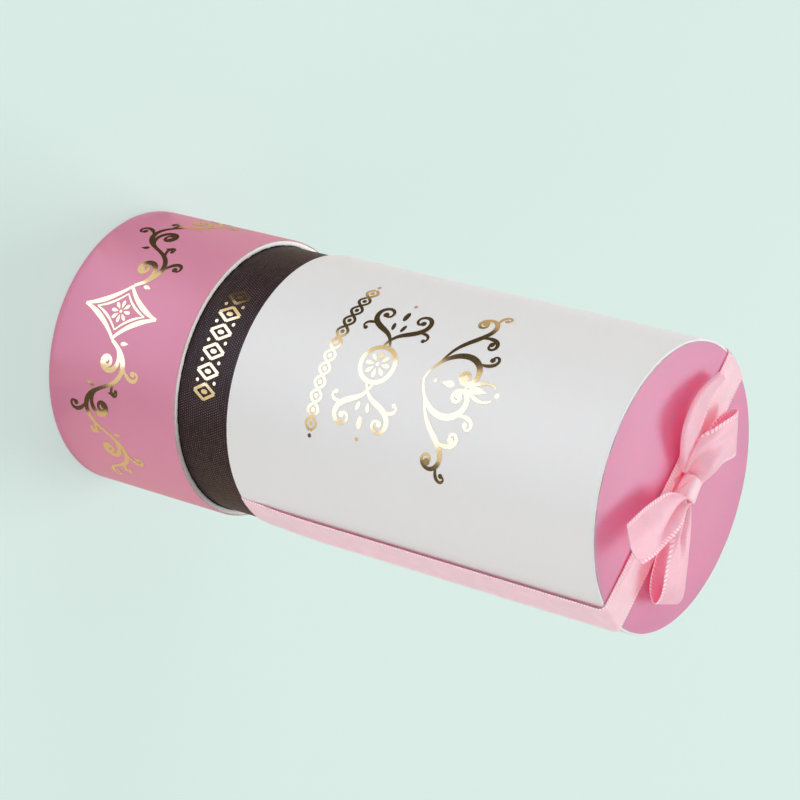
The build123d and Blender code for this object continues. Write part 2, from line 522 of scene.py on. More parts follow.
@dataclass(frozen=True)
class SatinFinish(Finish):
    """Thin satin ribbon, finely woven, with a row of slanted stitches along each selvedge.

    It is drawn on the ribbon attribute: how far across and along the flat ribbon a point lies.
    """

    # pale: painted sheen on the weave's raised knots and painted highlight on the stitches' crests.
    pale: Colour
    # deep: painted shade in the gaps between the stitches.
    deep: Colour
    gloss: float = 0.3
    roughness: float = 0.42
    half_width: float = 6.0
    selvedge: float = 0.95
    stitch_pitch: float = 1.0
    weave_pitch: float = 0.5
    sheen: float = 0.3
    glow: float = 0.65
    glow_depth: float = 1.2
    relief: float = 0.12
    streaks: Grain = Grain(1, 2, 0.6)
    grains: Grain = Grain(2.6, 3, 0.7)
    clouds: Grain = Grain(0.25)

    def sockets(self, bench: Bench) -> dict[str, object]:
        """Draws the weave, its sheen and the stitches, with painted sheen on the weave's knots and
        painted highlight and shade on the stitches.

        Args:
            bench: The bench to draw it on.

        Returns:
            What goes into the shader's sockets.
        """
        ribbon = bench.attribute("ribbon")
        across, along, _ = bench.parts(ribbon)
        inner = self.half_width - self.selvedge
        edge = abs(across).eased(inner - 0.15, inner + 0.15)
        stitch = ((along + abs(across) * 0.5) / self.stitch_pitch).wave().eased(0.02, 0.45)
        row = along / self.weave_pitch
        column = across / (self.weave_pitch * 0.9) + (row.floor() * 0.5).fraction()
        knots = row.wave() * column.wave()
        threads = bench.noise(bench.joined(across * 6.0, along * 0.5, 0.0), self.streaks)
        grain = bench.noise(ribbon, self.grains)
        cloud = bench.noise(ribbon, self.clouds)
        body = knots * 0.6 + threads * 0.4
        height = body * 0.35 * (1 - edge) + stitch * edge * 0.7
        mottle = (grain * 0.6 + cloud * 0.4).eased(0.25, 0.75)
        tone = bench.blend(mottle, scaled(self.colour, 0.84), self.colour)
        # Painted sheen: the weave's raised knots are drawn towards the pale colour.
        tone = bench.blend(knots * (0.08 + grain * 0.35), tone, self.pale)
        # Painted highlight on the stitches' crests and painted shade in the gaps between them.
        tone = bench.blend(edge * 0.85, tone, bench.blend(stitch, self.deep, self.pale))
        return dict(
            Base_Color=tone,
            Roughness=self.roughness + edge * 0.15 + (grain - 0.5) * 0.12,
            Specular_IOR_Level=self.gloss,
            Subsurface_Weight=self.glow,
            Subsurface_Radius=(1.0, 0.2, 0.3),
            Subsurface_Scale=self.glow_depth * MM,
            Sheen_Weight=self.sheen,
            Sheen_Roughness=0.4,
            Sheen_Tint=(1.0, 0.93, 0.95),
            Normal=bench.bump(height, self.relief),
        )


@dataclass(frozen=True)
class FoilFinish(Finish):
    """Hot-stamped gold foil, a little uneven over the paper below."""

    relief: float = 0.04
    pressed: Grain = Grain(420, 3, 0.55)
    broad: Grain = Grain(120, 1)
    rubbed: Grain = Grain(2600, 3, 0.7)

    def sockets(self, bench: Bench) -> dict[str, object]:
        """Draws foil that is a little rubbed and dented.

        Args:
            bench: The bench to draw it on.

        Returns:
            What goes into the shader's sockets.
        """
        place = bench.place()
        height = bench.noise(place, self.pressed) * 0.6 + bench.noise(place, self.broad) * 0.4
        rub = bench.noise(place, self.rubbed)
        return dict(
            Base_Color=bench.blend(rub.eased(0.3, 0.7), scaled(self.colour, 0.88), self.colour),
            Metallic=1.0,
            Roughness=0.12 + rub * 0.08,
            Normal=bench.bump(height, self.relief),
        )


@dataclass(frozen=True)
class GlueFinish(Finish):
    """Clear hot-melt glue with a few tiny bubbles."""

    bubble: Colour = (0.98, 0.97, 0.97)
    bubble_gap: float = 0.6
    bubble_size: float = 0.12
    relief: float = 0.1
    clouds: Grain = Grain(900)

    def sockets(self, bench: Bench) -> dict[str, object]:
        """Draws the glue and its bubbles.

        Args:
            bench: The bench to draw it on.

        Returns:
            What goes into the shader's sockets.
        """
        place = bench.place()
        bubble = bench.specks(place, self.bubble_gap, self.bubble_size, 0.35)
        cloud = bench.noise(place, self.clouds)
        return dict(
            Base_Color=bench.blend(bubble * 0.6, self.colour, self.bubble),
            Roughness=0.14 + cloud * 0.12,
            IOR=1.48,
            Transmission_Weight=0.85,
            Normal=bench.bump(cloud + bubble * 0.3, self.relief),
        )


PINK = PaperFinish("pink_print", linear(232, 148, 178), 0.42, 0.55, cut_height=44.5)
PINK_TOP = PaperFinish(
    "pink_top_print",
    linear(227, 144, 179),
    0.5,
    0.3,
    speck_share=0.05,
    speck=(0.9, 0.85, 0.8),
    glow_depth=2.2,
    cut_radius=36.79,
)
PAPER_WHITE = PaperFinish("white_print", linear(245, 245, 245), 0.45, 0.4, mottle=0.012)
CLOTH = ClothPaperFinish("dark_cloth_paper", linear(34, 26, 27), linear(160, 112, 126))
BOARD = BoardFinish("raw_board", linear(255, 254, 251), linear(245, 241, 236))
LINING = LiningFinish("white_lining", linear(240, 236, 230))
SATIN = SatinFinish(
    "pink_satin", linear(238, 198, 212), linear(250, 238, 242), linear(236, 170, 190)
)
# A paler copy of the pink satin for the strap and the knot: its lighter colours are painted sheen.
SATIN_PAINTED_SHEEN = SatinFinish(
    "pink_satin_painted_sheen",
    linear(254, 218, 228),
    linear(255, 246, 250),
    linear(244, 188, 204),
    selvedge=0.75,
    stitch_pitch=0.85,
    sheen=0.6,
    glow=0.5,
)
# The matt back of the satin, seen inside the loops: its colour is paler than the front's as painted
# light, standing for light that passes through the thin ribbon.
SATIN_BACK = SatinFinish(
    "pink_satin_back",
    linear(240, 207, 224),
    linear(248, 228, 236),
    linear(234, 168, 190),
    gloss=0.2,
    roughness=0.65,
)
FOIL = FoilFinish("gold_foil", linear(243, 226, 188))
GLUE = GlueFinish("clear_glue", (0.93, 0.9, 0.9))


@dataclass
class Finishes:
    """Every material of the box, made once."""

    pink: Material = field(default_factory=PINK.make)
    pink_top: Material = field(default_factory=PINK_TOP.make)
    white: Material = field(default_factory=PAPER_WHITE.make)
    cloth: Material = field(default_factory=CLOTH.make)
    board: Material = field(default_factory=BOARD.make)
    lining: Material = field(default_factory=LINING.make)
    satin: Material = field(default_factory=SATIN.make)
    satin_painted_sheen: Material = field(default_factory=SATIN_PAINTED_SHEEN.make)
    satin_back: Material = field(default_factory=SATIN_BACK.make)
    foil: Material = field(default_factory=FOIL.make)
    glue: Material = field(default_factory=GLUE.make)


def dress(node: str, material: Material) -> None:
    """Gives a CAD node that stays in sight its material.

    Args:
        node: The node.
        material: Its material.
    """
    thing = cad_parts[node]
    if not thing.material_slots:
        thing.data.materials.append(material)
    for place in thing.material_slots:
        place.material = material
    LOG.info("CAD node %s keeps its mesh and takes %s", node, material.name)


def finished(
    name: str,
    shape: bmesh.types.BMesh,
    material: Material,
    smooth_angle: float = 40.0,
) -> Piece:
    """Turns a drawn shape into a piece.

    Args:
        name: The piece's name.
        shape: The shape, in millimetres. It is freed.
        material: What it is made of.
        smooth_angle: Faces that meet at less than this many degrees are shaded as one.

    Returns:
        The new object, at the origin, in metres.
    """
    bmesh.ops.scale(shape, vec=(MM, MM, MM), verts=shape.verts)
    for face in shape.faces:
        face.smooth = True
    for edge in shape.edges:
        if len(edge.link_faces) == 2 and edge.calc_face_angle(0.0) > math.radians(smooth_angle):
            edge.smooth = False
    mesh = bpy.data.meshes.new(name)
    shape.to_mesh(mesh)
    shape.free()
    mesh.materials.append(material)
    piece = bpy.data.objects.new(name, mesh)
    bpy.context.scene.collection.objects.link(piece)
    return piece


def mounted(piece: Piece, body: str, node: str = "") -> Piece:
    """Puts a piece on its body and logs it.

    Args:
        piece: The piece.
        body: The body that it moves with.
        node: The CAD node that it stands for, or nothing if it adds to what is there.

    Returns:
        The piece.
    """
    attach(piece, body)
    if node:
        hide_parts(node)
    LOG.info("piece %s: %d faces before its modifiers", piece.name, len(piece.data.polygons))
    return piece


def spun(profile: Sequence[Flat], segments: int = SEGMENTS) -> bmesh.types.BMesh:
    """A closed section turned round the axis of the tubes.

    Args:
        profile: Points (radius, height) of the closed section, in order.
        segments: Steps in the full turn.

    Returns:
        The turned shape with its normals outwards. Its first column of points lies at the back.
    """
    shape = bmesh.new()
    points = [shape.verts.new((0.0, radius, height)) for radius, height in profile]
    rim = [shape.edges.new((a, b)) for a, b in zip(points, points[1:] + points[:1])]
    full_turn = {"cent": (0, 0, 0), "axis": (0, 0, 1), "angle": math.tau, "steps": segments}
    bmesh.ops.spin(shape, geom=points + rim, use_merge=True, use_duplicate=False, **full_turn)
    bmesh.ops.remove_doubles(shape, verts=shape.verts, dist=0.0005)
    bmesh.ops.recalc_face_normals(shape, faces=shape.faces)
    return shape


def reshape(shape: bmesh.types.BMesh, change: Callable[[float, float, float], Flat]) -> None:
    """Moves every point of a turned shape.

    Args:
        shape: The shape.
        change: Gives a point's new radius and height for its radius, angle and height.
    """
    for point in shape.verts:
        radius = math.hypot(point.co.x, point.co.y)
        angle = math.degrees(math.atan2(point.co.x, -point.co.y))
        radius, height = change(radius, angle, point.co.z)
        turn = math.radians(angle)
        point.co = (radius * math.sin(turn), -radius * math.cos(turn), height)


def round_noise(angle: float, height: float, spots: float, seed: float) -> float:
    """Noise from about -1 to 1 that meets itself after a full turn."""
    turn = math.radians(angle)
    return noise.noise(Vector((math.cos(turn) * spots, math.sin(turn) * spots, height + seed)))


def arc_points(centre: Flat, radius: float, start: float, end: float, steps: int) -> list[Flat]:
    """Points (radius, height) on a quarter or half round of a section."""
    turns = [math.radians(start + (end - start) * step / steps) for step in range(steps + 1)]
    return [(centre[0] + radius * math.cos(t), centre[1] + radius * math.sin(t)) for t in turns]


@dataclass
class PaperSeam:
    """The upright seam where a wrap's end laps over its start, at the back."""

    angle: float
    radius: float
    paper: float
    lap: float = 8.0
    ease: float = 1.2

    def lift(self, angle: float) -> float:
        """Works out how far the outer layer stands off.

        Args:
            angle: Where round the tube, in degrees.

        Returns:
            The distance, in millimetres.
        """
        off = math.radians((angle - self.angle + 180) % 360 - 180) * self.radius
        if off < -self.ease or off > self.lap:
            return 0.0
        return self.paper * smooth_share(off, -self.ease, 0.0)


@dataclass
class BaseShell:
    """The pink base: its board tube with the raw rim, and the paper round it."""

    inner: float = 36.9
    board_outer: float = 38.25
    outer: float = 38.4
    height: float = 44.6
    paper_low: float = 0.2
    board_low: float = 0.35
    foot_round: float = 0.4
    rim_round: float = 0.45
    rim_wrap: float = 58.0
    turn_over: float = 10.0
    seam: PaperSeam = field(default_factory=lambda: PaperSeam(176.0, 38.4, 0.11))

    def build(self, finishes: Finishes) -> Piece:
        """Makes the two pieces and dresses what lies below them.

        Args:
            finishes: The materials.

        Returns:
            The board's piece.
        """
        board = self.build_board(finishes)
        self.build_paper(finishes)
        dress("base_bottom_paper", finishes.pink)
        dress("base_disc", finishes.board)
        return board

    def build_board(self, finishes: Finishes) -> Piece:
        """Makes the board tube. Its cut rim is a little rough, most of all on the inside.

        Args:
            finishes: The materials.

        Returns:
            Its piece.
        """
        low, high, inner, outer = self.board_low, self.height, self.inner, self.board_outer
        profile = [(inner, low), (outer, low), (outer, high - 2)]
        profile += arc_points(self.rim_bend(), self.rim_round, 0, 90, 5)
        profile += [(inner + 0.5, high), (inner + 0.1, high - 0.01)]
        profile += [(inner, high - down) for down in (0.08, 1.2, 6)]
        shape = spun(profile, FINE_SEGMENTS)
        reshape(shape, self.ragged)
        piece = finished("base_board", shape, finishes.board, 60)
        return mounted(piece, "base", "base_tube")

    def rim_bend(self) -> Flat:
        """The centre that the board's outer edge is rounded about at the rim."""
        return self.board_outer - self.rim_round, self.height - self.rim_round

    def ragged(self, radius: float, angle: float, height: float) -> Flat:
        """Roughens a point of the cut rim.

        Args:
            radius: Its distance from the axis.
            angle: Its angle.
            height: Its height.

        Returns:
            Its new radius and height.
        """
        near = smooth_share(height, self.height - 1.5, self.height - 0.3)
        inside = smooth_share(self.inner + 0.5 - radius, 0.0, 0.5)
        fine = round_noise(angle, radius * 2, 60, 3.0)
        fine += 0.6 * round_noise(angle, radius * 3, 150, 9.0)
        burr = max(round_noise(angle, 0.0, 22, 31.0), 0.0)
        radius -= near * inside * (0.05 + 0.1 * max(fine, -0.4) + 0.22 * burr)
        height += near * 0.02 * fine if radius < self.board_outer - 0.2 else 0.0
        return radius, height

    def build_paper(self, finishes: Finishes) -> None:
        """Makes the printed paper, turned over at the foot and pressed over the rim's edge.

        Args:
            finishes: The materials.
        """
        outer, low, foot = self.outer, self.paper_low, self.foot_round
        under = outer - self.turn_over
        paper = outer - self.board_outer
        fold = foot - paper
        profile = arc_points(self.rim_bend(), self.rim_round + 0.01, self.rim_wrap, 0, 5)
        profile += [(self.board_outer, low + foot)]
        profile += arc_points((outer - foot, low + foot), fold, 0, -90, 4)
        profile += [(under, low + paper), (under, low)]
        profile += arc_points((outer - foot, low + foot), foot, -90, 0, 6)
        profile += [(outer, height) for height in (4, 12, 22, 34, self.height - 2)]
        profile += arc_points(self.rim_bend(), self.rim_round + paper, 0, self.rim_wrap, 6)
        shape = spun(profile)
        reshape(shape, self.papered)
        mounted(finished("base_paper", shape, finishes.pink, 50), "base", "base_wrap")

    def papered(self, radius: float, angle: float, height: float) -> Flat:
        """Adds the seam, the soft unevenness of the tube and that of the cut at the rim.

        Args:
            radius: Its distance from the axis.
            angle: Its angle.
            height: Its height.

        Returns:
            Its new radius and height.
        """
        if height > self.height - 0.3:
            height += 0.02 * round_noise(angle, 0.0, 60, 8.0)
        elif radius > self.board_outer + 0.02:
            radius += self.seam.lift(angle) if height > 2 else 0.0
            radius += 0.02 * round_noise(angle, height / 14, 5, 5.0)
        return radius, height


@dataclass
class Neck:
    """The dark inner tube that stays in sight between the lid and the base."""

    board_outer: float = 36.4
    outer: float = 36.6
    low: float = 1.85
    high: float = 171.6
    seam: PaperSeam = field(default_factory=lambda: PaperSeam(-172.0, 36.6, 0.06))

    def build(self, finishes: Finishes) -> None:
        """Makes the dark paper and dresses the tube and its lining.

        Args:
            finishes: The materials.
        """
        edge = 0.05
        rows = (self.low, 30, 60, 100, 140, self.high - 1, self.high - edge)
        profile = [(self.board_outer, self.low)] + [(self.outer, height) for height in rows]
        profile += [(self.outer - edge, self.high), (self.board_outer, self.high)]
        shape = spun(profile)
        reshape(shape, self.papered)
        piece = finished("neck_paper", shape, finishes.cloth, 50)
        mounted(piece, "base", "neck_wrap")
        dress("neck_tube", finishes.board)
        dress("neck_lining", finishes.lining)
        dress("floor_paper", finishes.lining)

    def papered(self, radius: float, angle: float, height: float) -> Flat:
        """Adds the seam of the dark paper, which the lid leaves room for.

        Args:
            radius: Its distance from the axis.
            angle: Its angle.
            height: Its height.

        Returns:
            Its new radius and height.
        """
        if radius > self.board_outer + 0.1:
            radius += self.seam.lift(angle)
        return radius, height


@dataclass
class LidShell:
    """The white lid: the paper round it and the pink sheet on its top."""

    board_outer: float = 37.35
    outer: float = 37.5
    rim: float = 61.7
    top: float = 173.3
    top_round: float = 0.28
    fold_round: float = 0.25
    sheet: float = 0.2
    sheet_inset: float = 0.6
    turn_over: float = 10.0
    seam: PaperSeam = field(default_factory=lambda: PaperSeam(168.0, 37.5, 0.11))

    def build(self, finishes: Finishes) -> None:
        """Makes the two pieces and dresses the board and the linings.

        Args:
            finishes: The materials.
        """
        self.build_paper(finishes)
        self.build_sheet(finishes)
        dress("lid_tube", finishes.board)
        dress("lid_disc", finishes.board)
        dress("lid_lining", finishes.lining)
        dress("ceiling_paper", finishes.lining)

    def build_paper(self, finishes: Finishes) -> None:
        """Makes the white paper, cut flush with the open rim and turned over at the top.

        Args:
            finishes: The materials.
        """
        outer, board, rim = self.outer, self.board_outer, self.rim
        over, under = self.top_round, self.fold_round
        top = self.top - self.sheet
        paper = outer - board
        hole = outer - self.turn_over
        profile = [(board, rim), (outer - 0.03, rim), (outer, rim + 0.05), (outer, rim + 1)]
        profile += [(outer, height) for height in range(68, 172, 8)]
        profile += arc_points((outer - over, top - over), over, 0, 90, 6)
        profile += [(hole, top), (hole, top - paper)]
        profile += arc_points((board - under, top - paper - under), under, 90, 0, 4)
        shape = spun(profile)
        reshape(shape, self.papered)
        mounted(finished("lid_paper", shape, finishes.white, 50), "lid", "lid_wrap")

    def papered(self, radius: float, angle: float, height: float) -> Flat:
        """Adds the seam and the soft unevenness of the tube.

        Args:
            radius: Its distance from the axis.
            angle: Its angle.
            height: Its height.

        Returns:
            Its new radius and height.
        """
        if radius > self.board_outer + 0.02 and height < self.top - 1:
            radius += self.seam.lift(angle) if height > self.rim + 0.5 else 0.0
            radius += 0.02 * round_noise(angle, height / 18, 5, 15.0)
        return radius, height

    def build_sheet(self, finishes: Finishes) -> None:
        """Makes the pink sheet on top, its edge cut by hand just short of the lid's.

        Args:
            finishes: The materials.
        """
        low, high, middle = self.top - self.sheet, self.top, 0.01
        edge = self.outer - self.sheet_inset
        profile = [(edge - 20, low), (edge - 0.02, low), (edge, low + 0.06)]
        profile += [(edge - 0.02, high - 0.03), (edge - 0.1, high), (edge - 20, high)]
        profile += [(middle, high), (middle, low)]
        shape = spun(profile, FINE_SEGMENTS)
        reshape(shape, self.cut_edge)
        piece = finished("lid_top_sheet", shape, finishes.pink_top, 50)
        mounted(piece, "lid", "lid_top_paper")

    def cut_edge(self, radius: float, angle: float, height: float) -> Flat:
        """Moves the sheet's edge a little in and out.

        Args:
            radius: Its distance from the axis.
            angle: Its angle.
            height: Its height.

        Returns:
            Its new radius and height.
        """
        if radius > 30:
            radius += 0.07 * round_noise(angle, 0.0, 6, 2.0)
            radius += 0.035 * round_noise(angle, 0.0, 70, 4.0)
        return radius, height


class Fold(Enum):
    """How a stretch of ribbon is held."""

    STRETCHED = "stretched"
    FOLDED = "folded"


@dataclass
class RibbonPiece:
    """A length of satin ribbon, cut flat and then laid along its way."""

    name: str
    node: str
    length: float
    held: Fold
    rests_on: tuple[str, ...]
    half_width: float = 6.0
    thickness: float = 0.22
    row_step: float = 0.24
    bead_pitch: float = 1.0
    bead_depth: float = 0.08
    turned: bool = False
    roll_radius: float = 0.45
    half_columns: Numbers = (
        0.55, 1.1, 1.6, 2.2, 2.8, 3.4, 4.0, 4.5, 5.0, 5.2, 5.4, 5.6, 5.8, 6.0
    )

    def lay(self, across: float, along: float) -> Vector:
        """Where a point of the flat ribbon goes, in millimetres."""
        raise NotImplementedError

    def build(self, finishes: Finishes) -> Piece:
        """Cuts the ribbon flat, lays it and gives it its thickness.

        Args:
            finishes: The materials.

        Returns:
            Its piece.
        """
        rows = round(self.length / self.row_step)
        columns = [-place for place in reversed(self.half_columns)] + [0.0, *self.half_columns]
        shape = bmesh.new()
        bmesh.ops.create_grid(shape, x_segments=len(columns) - 1, y_segments=rows, size=0.5)
        weave = shape.verts.layers.float_vector.new("ribbon")
        for point in shape.verts:
            across = columns[round((point.co.x + 0.5) * (len(columns) - 1))]
            along = (point.co.y + 0.5) * self.length
            point[weave] = (across, along, 0.0)
            point.co = self.lay(self.beaded(across, along), along)
        if self.turned:
            bmesh.ops.reverse_faces(shape, faces=shape.faces)
        piece = finished(self.name, shape, self.side(finishes), 180)
        piece.data.materials.append(finishes.satin_back)
        wall = piece.modifiers.new("thickness", "SOLIDIFY")
        wall.thickness = self.thickness * MM
        wall.offset = 0.0
        wall.material_offset = 1
        mounted(piece, "lid", self.node)
        flat = (2 * self.half_width * MM, self.length * MM)
        return piece

    def side(self, finishes: Finishes) -> Material:
        """The finish of its shiny side."""
        return finishes.satin

    def beaded(self, across: float, along: float) -> float:
        """Pushes the edge points out and in, as the selvedge's beads are.

        Args:
            across: How far the point is from the middle line.
            along: How far it is from the start.

        Returns:
            How far from the middle line the point lies then.
        """
        inset = self.half_width - abs(across)
        if inset > 0.3:
            return across
        bead = abs(math.sin(math.pi * along / self.bead_pitch)) - 0.6
        share = 1.0 if inset < 0.1 else 0.35
        return across + math.copysign(self.bead_depth * bead * share, across)

    def rolled(self, across: float, low: float, high: float) -> tuple[float, float]:
        """Rolls the edges under.

        Args:
            across: The point's distance from the middle line of the flat ribbon.
            low: How much of the ribbon is rolled under on its negative side.
            high: How much of it is rolled under on the other side.

        Returns:
            How far from the middle line the point lies then, and how deep.
        """
        size = abs(across)
        radius = self.roll_radius
        flat = self.half_width - (low if across < 0 else high)
        if size <= flat:
            return across, 0.0
        turn = min((size - flat) / radius, math.pi)
        reach = flat + radius * math.sin(turn) - max(size - flat - math.pi * radius, 0.0)
        return math.copysign(reach, across), radius * (1 - math.cos(turn))


@dataclass
class Strap(RibbonPiece):
    """The ribbon over the lid: turned in at the rim, up the wall and across the top.

    On the wall it stands off by up to stand_off towards the top. It bends round the lid near the
    turned-in ends and all the way up its -X side, and is flat across its width elsewhere.
    """

    name: str = "strap_ribbon"
    node: str = "ribbon_strap"
    length: float = 0.0
    held: Fold = Fold.STRETCHED
    rests_on: tuple[str, ...] = ("lid_paper", "lid_top_sheet")
    inner: float = 36.925
    wall: float = 37.64
    rim: float = 61.7
    top: float = 173.42
    turn_in: float = 7.8
    corner: float = 1.4
    free_from: float = 62.0
    free_at: float = 85.0
    stand_off: float = 0.45
    bead_pitch: float = 0.85
    bead_depth: float = 0.12
    turned: bool = True
    half_columns: Numbers = (1.15, 2.3, 3.45, 4.3, 4.7, 5.1, 5.4, 5.7, 6.0)
    way: list[Triple] = field(default_factory=list)

    def __post_init__(self) -> None:
        """Works out the way up one side, as (distance along, distance from the axis, height)."""
        gap = (self.wall - self.inner) / 2
        line = [(self.inner, self.rim + self.turn_in), (self.inner, self.rim + 0.1)]
        line += arc_points((self.inner + gap, self.rim + 0.1), gap, 180, 360, 10)[1:]
        for height in range(64, 87, 2):
            free = smooth_share(height, self.free_from, self.free_at)
            line.append((self.wall + self.stand_off * free, height))
        bend = (self.wall + self.stand_off - self.corner, self.top - self.corner)
        line += arc_points(bend, self.corner, 0, 90, 10) + [(0.0, self.top)]
        gone = 0.0
        self.way = [(0.0, *line[0])]
        for (r0, z0), (r1, z1) in zip(line, line[1:]):
            gone += math.hypot(r1 - r0, z1 - z0)
            self.way.append((gone, r1, z1))
        self.length = 2 * gone

    def lay(self, across: float, along: float) -> Vector:
        """Lays a point of the flat ribbon along the way and round the lid.

        Args:
            across: How far the point is from the middle line.
            along: How far it is from the start.

        Returns:
            Its place, in millimetres.
        """
        half = self.length / 2
        side = -1.0 if along < half else 1.0
        gone = along if along < half else self.length - along
        for (g0, r0, z0), (g1, r1, z1) in zip(self.way, self.way[1:]):
            if gone <= g1 + 1e-6:
                break
        share = (gone - g0) / max(g1 - g0, 1e-9)
        radius, height = r0 + (r1 - r0) * share, z0 + (z1 - z0) * share
        turn = across / self.wall
        bent = smooth_share(radius, 10, 36)
        if side > 0 and gone > self.turn_in + 1:
            bent *= 1 - smooth_share(height, 62, 75)
        x = side * radius * (1 - bent * (1 - math.cos(turn)))
        y = across + bent * (self.wall * math.sin(turn) - across)
        lift = self.lift(x) * smooth_share(height, self.top - 1.2, self.top - 0.1)
        lift *= 1 - 0.72 * smooth_share(-across, 4.3, 6.0)
        free = max(0.5 - across / (2 * self.half_width), 0.0)
        sway = 0.12 * noise.noise(Vector((x * 0.11, 0.0, 4.0)))
        sway *= smooth_share(height, self.top - 1, self.top)
        return Vector((x, y + sway, height + lift * free**1.25))

    def side(self, finishes: Finishes) -> Material:
        """The finish of its shiny side, a paler copy of the satin whose lighter colours are painted
        sheen.
        """
        return finishes.satin_painted_sheen

    def lift(self, x: float) -> float:
        """How far the front selvedge stands off the top, which the glued bow holds up."""
        reach = min(abs(x) / 37.0, 1.0)
        return 0.45 + 1.55 * (1 - reach**1.6)


@dataclass
class BowBand(RibbonPiece):
    """A loop or tail of the bow. Each station says where the ribbon's middle is and how it lies.

    A station holds x, y and z as shares of the bow's reach, spread and rise, the direction of
    the width in degrees from +X, its lean in degrees, the share of the width that is open, how
    far the middle bulges and how high its two rolls are, in millimetres. A dent holds its place
    along the band, its share of the half width, its length and width in the same shares, how
    far it runs sideways along the band, and its depth in millimetres. The corner is how much is
    cut off the end's corners, in millimetres.
    """

    held: Fold = Fold.FOLDED
    rests_on: tuple[str, ...] = ("knot_ribbon", "strap_ribbon")
    stations: tuple[Numbers, ...] = ()
    rolls: tuple[Flat, ...] = ((0, 0), (0, 0))
    dents: tuple[Numbers, ...] = ()
    valley: float = 0.0
    corner: float = 0.0
    reach: float = 28.0
    spread: float = 17.0
    rise: float = 6.5
    low: float = 173.55

    def row(self, place: float) -> list[float]:
        """The station at a place from 0 to 1 along the band."""
        return curve_row(self.stations, min(max(place, 0.0), 1.0) * (len(self.stations) - 1))

    def middle(self, row: Sequence[float]) -> Vector:
        """The middle of the ribbon at a station."""
        return Vector((row[0] * self.reach, row[1] * self.spread, self.low + row[2] * self.rise))

    def dented(self, place: float, share: float) -> float:
        """How far the folds push a point in.

        Args:
            place: Its place from 0 to 1 along the band.
            share: Its share of the half width.

        Returns:
            The distance, in millimetres.
        """
        total = 0.0
        for at, side, long, wide, slant, depth in self.dents:
            run = (place - at) / long
            off = (share - side - slant * (place - at)) / wide
            total += depth * math.exp(-run * run - off * off)
        return total

    def lay(self, across: float, along: float) -> Vector:
        """Lays a point of the flat ribbon by the stations, rolls and dents.

        Args:
            across: How far the point is from the middle line.
            along: How far it is from the start.

        Returns:
            Its place, in millimetres.
        """
        share = across / self.half_width
        cut = 0.38 * self.corner * abs(share) ** 3 if across < 0 else self.corner * share**1.3
        along -= cut * smooth_share(along, self.length - 4, self.length)
        place = along / self.length
        row = self.row(place)
        turn, lean = math.radians(row[3]), math.radians(row[4])
        level = math.cos(lean)
        width = Vector((level * math.cos(turn), level * math.sin(turn), math.sin(lean)))
        run = self.middle(self.row(place + 0.01)) - self.middle(self.row(place - 0.01))
        face = width.cross(run).normalized() * (-1 if self.turned else 1)
        low, high = curve_row(self.rolls, place * (len(self.rolls) - 1))
        low, high = max(low, 0.0), max(high, 0.0)
        reach, deep = self.rolled(across, low, high)
        out_low = self.half_width - max(low - self.roll_radius, 0.0)
        out_high = self.half_width - max(high - self.roll_radius, 0.0)
        reach = (reach + out_low) * 2 * self.half_width / (out_low + out_high) - self.half_width
        bulge = row[6] * (1 - share * share)
        skewed = share - self.valley * (1 - share * share)
        rolls = -row[7] * math.cos(skewed * math.tau)
        out = bulge + rolls - deep - self.dented(place, share)
        return self.middle(row) + width * (reach * row[5]) + face * out


RIGHT_LOOP = (
    (0.10, -0.03, 0.40, 95, 0, 0.38, 0.0, 0.4),
    (0.28, 0.26, 0.20, 110, 0, 0.72, 0.0, 0.2),
    (0.52, 0.57, 0.15, 115, 0, 1.00, 0.0, 0.05),
    (0.74, 0.76, 0.17, 116, 0, 1.00, 0.0, 0.0),
    (0.86, 0.89, 0.45, 118, 0, 1.00, 0.0, 0.0),
    (0.79, 0.79, 0.74, 115, 0, 1.00, 0.0, 0.0),
    (0.60, 0.50, 0.82, 112, 0, 0.95, 0.3, 0.1),
    (0.34, 0.22, 0.80, 114, 0, 0.66, 0.4, 0.75),
    (0.10, -0.03, 0.66, 95, 0, 0.40, 0.0, 0.9),
)
LEFT_LOOP = (
    (-0.10, -0.03, 0.40, 85, 0, 0.38, 0.0, 0.4),
    (-0.29, 0.10, 0.28, 72, 0, 0.72, 0.0, 0.2),
    (-0.50, 0.22, 0.26, 60, 0, 1.00, 0.0, 0.05),
    (-0.72, 0.36, 0.34, 52, 0, 1.00, 0.0, 0.0),
    (-0.80, 0.43, 0.60, 50, 0, 1.00, 0.0, 0.0),
    (-0.72, 0.29, 0.88, 50, 0, 0.96, 0.1, 0.0),
    (-0.50, -0.04, 0.98, 62, 6, 0.88, 0.3, 0.25),
    (-0.29, -0.20, 0.90, 74, 28, 0.76, 0.4, 0.85),
    (-0.10, -0.12, 0.62, 84, 34, 0.52, 0.0, 0.9),
)
LEFT_TAIL = (
    (-0.10, -0.17, 0.38, 88, 10, 0.26, 0.2, 0.2),
    (-0.21, -0.40, 0.44, 110, -2, 0.50, 0.4, 0.1),
    (-0.43, -0.73, 0.58, 121, -7, 0.92, 0.4, 0.0),
    (-0.725, -0.755, 0.54, 119, -9, 0.84, 0.3, 0.0),
    (-1.03, -0.49, 0.42, 106, -13, 0.42, 0.2, 0.0),
)
RIGHT_TAIL = (
    (0.10, -0.10, 0.76, 88, 0, 0.42, 0.3, 0.5),
    (0.28, -0.38, 0.92, 70, 12, 0.84, 0.3, 0.2),
    (0.51, -0.64, 0.95, 64, 18, 0.96, 0.2, 0.0),
    (0.70, -0.835, 0.95, 57, 19, 0.97, 0.2, 0.0),
    (0.906, -1.055, 0.88, 49, 14, 0.90, 0.2, 0.0),
)
RIGHT_LOOP_ROLLS = ((0, 1.2), (0, 1.2), (0, 1.3)) + ((0, 1.4),) * 4 + ((0.8, 1.5), (1.5, 1.6))
